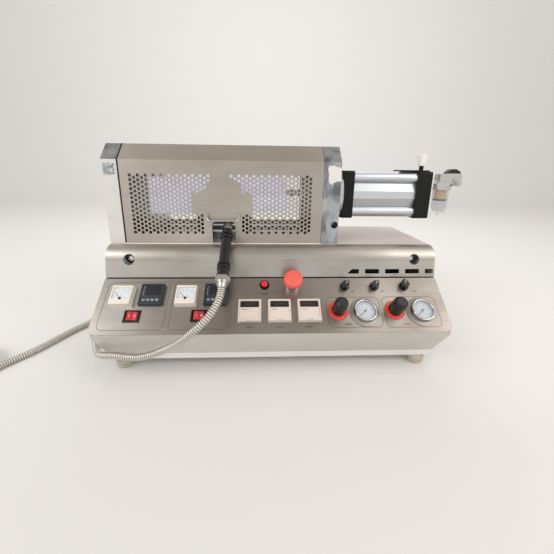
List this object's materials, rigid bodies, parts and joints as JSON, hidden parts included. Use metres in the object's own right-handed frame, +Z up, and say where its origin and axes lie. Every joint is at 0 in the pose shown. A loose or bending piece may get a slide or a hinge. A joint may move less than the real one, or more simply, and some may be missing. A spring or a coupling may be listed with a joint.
{
  "type": "bench-top injection moulding machine",
  "caption": "Bench-top horizontal injection moulder: sloped console with gauges and switches, guarded press bed, air cylinder and hand-held heated barrel on an armoured conduit.",
  "frame": {"origin": "middle of the footprint at bench level", "axes": "+X along the press towards the air cylinder, +Y away from the operator, +Z up"},
  "size_m": [1.2765, 0.4095, 0.4982],
  "materials": {
    "white_paint": "gloss",
    "cream_paint": "satin",
    "stainless": "brushed",
    "ivory_deck": "gloss",
    "plate_aluminium": "satin",
    "machined_steel": "machined",
    "black_steel": "satin",
    "extrusion": "anodised",
    "bright_steel": "polished",
    "cap_black": "satin",
    "white_plastic": "matt",
    "cream_plastic": "satin",
    "black_plastic": "satin",
    "red_plastic": "gloss",
    "clear_plastic": "clear",
    "shield_film": "clear",
    "foot_rubber": "matt",
    "bronze_filter": "sintered",
    "conduit_steel": "ribbed"
  },
  "bodies": {
    "machine": {"chassis_pan": "white_paint", "casing": "cream_paint", "control_panel": "stainless", "nose_cover": "stainless", "deck_plate": "ivory_deck", "feet": "foot_rubber", "end_plate_left": "plate_aluminium", "end_plate_right": "plate_aluminium", "rear_cover": "stainless", "guard_hinge": "machined_steel", "bed_rails": "machined_steel", "mould_carrier": "machined_steel", "mould": "bright_steel", "barrel_cradle": "black_steel", "barrel": "black_steel", "handle_arm": "bright_steel", "handle_grip": "black_plastic", "handle_nut": "bright_steel", "adapter_flange": "plate_aluminium", "cylinder_bolts": "bright_steel", "cylinder_front_cap": "cap_black", "cylinder_tube": "extrusion", "cylinder_rear_cap": "cap_black", "rear_cap_plate": "plate_aluminium", "port_plate": "cap_black", "silencer": "white_plastic", "filter_body": "bright_steel", "filter_bowl": "clear_plastic", "filter_element": "bronze_filter", "meter_cases": "cream_plastic", "instrument_windows": "clear_plastic", "controllers": "black_plastic", "timers": "cream_plastic", "rocker_frames": "black_plastic", "button_collars": "black_plastic", "regulator_rings": "red_plastic", "gauge_cases": "bright_steel", "conduit_glands": "bright_steel", "gun_conduit": "conduit_steel", "lead_conduit": "conduit_steel", "lead_coil": "conduit_steel", "lead_connector": "machined_steel"},
    "guard": {"guard": "stainless", "guard_shield": "shield_film"},
    "ram": {"ram": "bright_steel", "plunger": "bright_steel"},
    "push_button": {"push_button": "red_plastic"},
    "stop_button": {"stop_button": "red_plastic"},
    "filter_knob": {"filter_knob": "black_plastic"},
    "rocker_1": {"rocker_1": "red_plastic"},
    "rocker_2": {"rocker_2": "red_plastic"},
    "selector_1": {"selector_1": "black_plastic"},
    "selector_2": {"selector_2": "black_plastic"},
    "selector_3": {"selector_3": "black_plastic"},
    "regulator_knob_1": {"regulator_knob_1": "black_plastic"},
    "regulator_knob_2": {"regulator_knob_2": "black_plastic"},
    "gauge_needle_1": {"gauge_needle_1": "black_plastic"},
    "gauge_needle_2": {"gauge_needle_2": "black_plastic"},
    "meter_needle_1": {"meter_needle_1": "black_plastic"},
    "meter_needle_2": {"meter_needle_2": "black_plastic"}
  },
  "joints": [
    {"name": "guard_swing", "type": "hinge", "parent": "machine", "child": "guard", "pos_m": [-0.165, 0.149, 0.4942], "axis": [-1, 0, 0], "range_deg": [0, 95]},
    {"name": "ram_slide", "type": "slide", "parent": "machine", "child": "ram", "axis": [-1, 0, 0], "range_m": [0, 0.11]},
    {"name": "push_button_travel", "type": "slide", "parent": "machine", "child": "push_button", "axis": [0, 0.6494, -0.7604], "range_m": [0, 0.0025], "stiffness_N_per_m": 400, "springref_m": -0.002},
    {"name": "stop_button_travel", "type": "slide", "parent": "machine", "child": "stop_button", "axis": [0, 0.6494, -0.7604], "range_m": [0, 0.004], "stiffness_N_per_m": 1500, "springref_m": -0.002},
    {"name": "rocker_1_tilt", "type": "hinge", "parent": "machine", "child": "rocker_1", "pos_m": [-0.3385, -0.14816, 0.1464], "axis": [0, 0.7604, 0.6494], "range_deg": [-18, 0]},
    {"name": "rocker_2_tilt", "type": "hinge", "parent": "machine", "child": "rocker_2", "pos_m": [-0.2055, -0.14816, 0.1464], "axis": [0, 0.7604, 0.6494], "range_deg": [-18, 0]},
    {"name": "selector_1_turn", "type": "hinge", "parent": "machine", "child": "selector_1", "pos_m": [0.103, -0.10144, 0.19024], "axis": [0, -0.6494, 0.7604], "range_deg": [0, 90]},
    {"name": "selector_2_turn", "type": "hinge", "parent": "machine", "child": "selector_2", "pos_m": [0.1685, -0.10144, 0.19024], "axis": [0, -0.6494, 0.7604], "range_deg": [0, 90]},
    {"name": "selector_3_turn", "type": "hinge", "parent": "machine", "child": "selector_3", "pos_m": [0.235, -0.10144, 0.19024], "axis": [0, -0.6494, 0.7604], "range_deg": [-45, 45]},
    {"name": "regulator_1_turn", "type": "hinge", "parent": "machine", "child": "regulator_knob_1", "pos_m": [0.0815, -0.14326, 0.15452], "axis": [0, -0.6494, 0.7604], "continuous": true},
    {"name": "regulator_2_turn", "type": "hinge", "parent": "machine", "child": "regulator_knob_2", "pos_m": [0.2015, -0.14326, 0.15452], "axis": [0, -0.6494, 0.7604], "continuous": true},
    {"name": "gauge_1_swing", "type": "hinge", "parent": "machine", "child": "gauge_needle_1", "pos_m": [0.1364, -0.1463, 0.15193], "axis": [0, -0.6494, 0.7604], "range_deg": [-260, 0], "stiffness_Nm_per_rad": 0.0005},
    {"name": "gauge_2_swing", "type": "hinge", "parent": "machine", "child": "gauge_needle_2", "pos_m": [0.2573, -0.1463, 0.15193], "axis": [0, -0.6494, 0.7604], "range_deg": [-260, 0], "stiffness_Nm_per_rad": 0.0005},
    {"name": "meter_1_swing", "type": "hinge", "parent": "machine", "child": "meter_needle_1", "pos_m": [-0.3665, -0.1244, 0.17063], "axis": [0, -0.6494, 0.7604], "range_deg": [-84, 0], "stiffness_Nm_per_rad": 0.0005},
    {"name": "meter_2_swing", "type": "hinge", "parent": "machine", "child": "meter_needle_2", "pos_m": [-0.235, -0.1244, 0.17063], "axis": [0, -0.6494, 0.7604], "range_deg": [-84, 0], "stiffness_Nm_per_rad": 0.0005},
    {"name": "filter_knob_turn", "type": "hinge", "parent": "machine", "child": "filter_knob", "pos_m": [0.398, 0.0355, 0.423], "axis": [0, 1, 0], "continuous": true}
  ]
}
